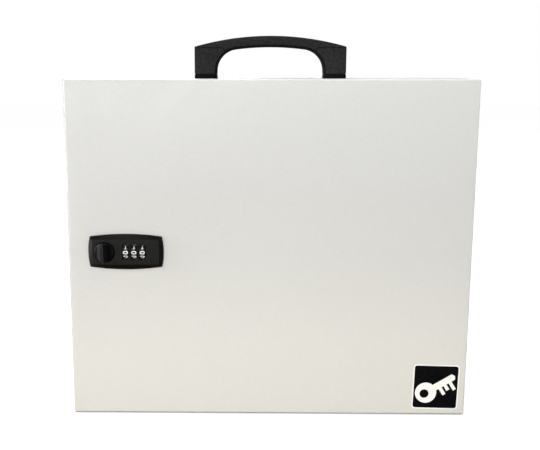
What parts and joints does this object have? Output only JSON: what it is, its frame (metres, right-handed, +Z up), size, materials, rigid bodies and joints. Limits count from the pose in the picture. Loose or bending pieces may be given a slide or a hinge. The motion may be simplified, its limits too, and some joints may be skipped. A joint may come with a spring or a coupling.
{
  "type": "key cabinet",
  "caption": "Shallow portable steel key cabinet with a full-width hinged door, a dial combination lock and knob, a bow carrying handle and hook rails inside.",
  "frame": {"origin": "on the floor plane, in the middle of the width and of the depth over the lock knob", "axes": "+Z up, +Y from the door to the back panel, +X to the right as seen from the front"},
  "size_m": [0.3624, 0.091, 0.3424],
  "materials": {
    "paint": "fine textured powder coat, warm light grey",
    "zinc_plated_steel": "zinc plated",
    "rivet_aluminium": "blind rivet, satin",
    "handle_nylon": "moulded, fine grain",
    "lock_black": "satin with a spark-textured face",
    "dial_black": "semi-gloss with white digits",
    "card_white": "card, printed",
    "label_black": "printed vinyl sticker",
    "pocket_clear": "frosted PVC"
  },
  "bodies": {
    "cabinet": {"cabinet_body": "paint", "hinge_leaf_body": "zinc_plated_steel", "hinge_pin": "zinc_plated_steel", "handle": "handle_nylon", "handle_screw_left": "zinc_plated_steel", "handle_screw_right": "zinc_plated_steel", "handle_washer_left": "zinc_plated_steel", "handle_washer_right": "zinc_plated_steel", "hook_rail_1": "paint", "hook_rail_2": "paint", "hook_rail_3": "paint", "hook_rail_4": "paint", "number_strip_1": "card_white", "number_strip_2": "card_white", "number_strip_3": "card_white", "number_strip_4": "card_white", "rail_rivet_1_left": "rivet_aluminium", "rail_rivet_1_right": "rivet_aluminium", "rail_rivet_2_left": "rivet_aluminium", "rail_rivet_2_right": "rivet_aluminium", "rail_rivet_3_left": "rivet_aluminium", "rail_rivet_3_right": "rivet_aluminium", "rail_rivet_4_left": "rivet_aluminium", "rail_rivet_4_right": "rivet_aluminium"},
    "door": {"door_panel": "paint", "hinge_leaf_door": "zinc_plated_steel", "lock_faceplate": "lock_black", "lock_chassis": "lock_black", "lock_screw_1": "zinc_plated_steel", "lock_screw_2": "zinc_plated_steel", "dial_axle": "zinc_plated_steel", "detent_spring": "zinc_plated_steel", "front_label": "label_black", "card_pocket": "pocket_clear", "index_card": "card_white"},
    "knob": {"thumb_knob": "lock_black", "knob_spindle": "zinc_plated_steel", "lock_cam": "zinc_plated_steel", "cam_washer": "zinc_plated_steel", "cam_nut": "zinc_plated_steel"},
    "wheel_1": {"dial_1": "dial_black"},
    "wheel_2": {"dial_2": "dial_black"},
    "wheel_3": {"dial_3": "dial_black"}
  },
  "joints": [
    {"name": "door_hinge", "type": "hinge", "parent": "cabinet", "child": "door", "pos_m": [0.1801, -0.0191, 0.1525], "axis": [0, 0, 1], "range_deg": [0, 172]},
    {"name": "knob_turn", "type": "hinge", "parent": "door", "child": "knob", "pos_m": [-0.1472, -0.0345, 0.1534], "axis": [0, -1, 0], "range_deg": [0, 90]},
    {"name": "dial_1_turn", "type": "hinge", "parent": "door", "child": "wheel_1", "pos_m": [-0.1282, -0.03345, 0.1534], "axis": [1, 0, 0], "continuous": true},
    {"name": "dial_2_turn", "type": "hinge", "parent": "door", "child": "wheel_2", "pos_m": [-0.1207, -0.03345, 0.1534], "axis": [1, 0, 0], "continuous": true},
    {"name": "dial_3_turn", "type": "hinge", "parent": "door", "child": "wheel_3", "pos_m": [-0.1132, -0.03345, 0.1534], "axis": [1, 0, 0], "continuous": true}
  ]
}
